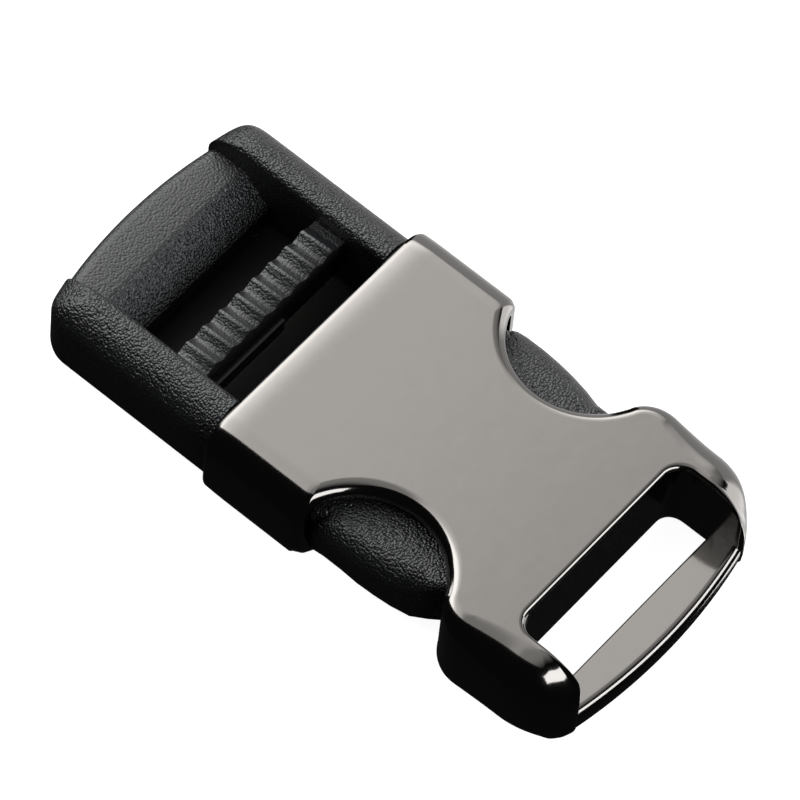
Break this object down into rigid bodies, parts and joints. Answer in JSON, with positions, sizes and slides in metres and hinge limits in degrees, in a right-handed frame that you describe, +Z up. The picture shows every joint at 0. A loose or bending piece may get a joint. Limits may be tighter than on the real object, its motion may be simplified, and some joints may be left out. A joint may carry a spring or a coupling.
{
  "type": "side release buckle",
  "caption": "Fastened side release buckle: a polished metal shell with scalloped finger windows and a webbing loop, and a plastic plug with a ridged grip bar.",
  "frame": {"origin": "centre of the bounding box, on the surface that the buckle lies on", "axes": "+X across the webbing, +Y along the webbing towards the shell's loop, +Z up from the surface that the buckle lies on"},
  "size_m": [0.027, 0.0568, 0.0094],
  "materials": {
    "shell_metal": "polished black nickel plate on cast zinc alloy",
    "plug_plastic": "black moulded acetal with a fine spark-eroded grain"
  },
  "bodies": {
    "root": {"shell": "shell_metal", "plug": "plug_plastic"}
  },
  "joints": []
}
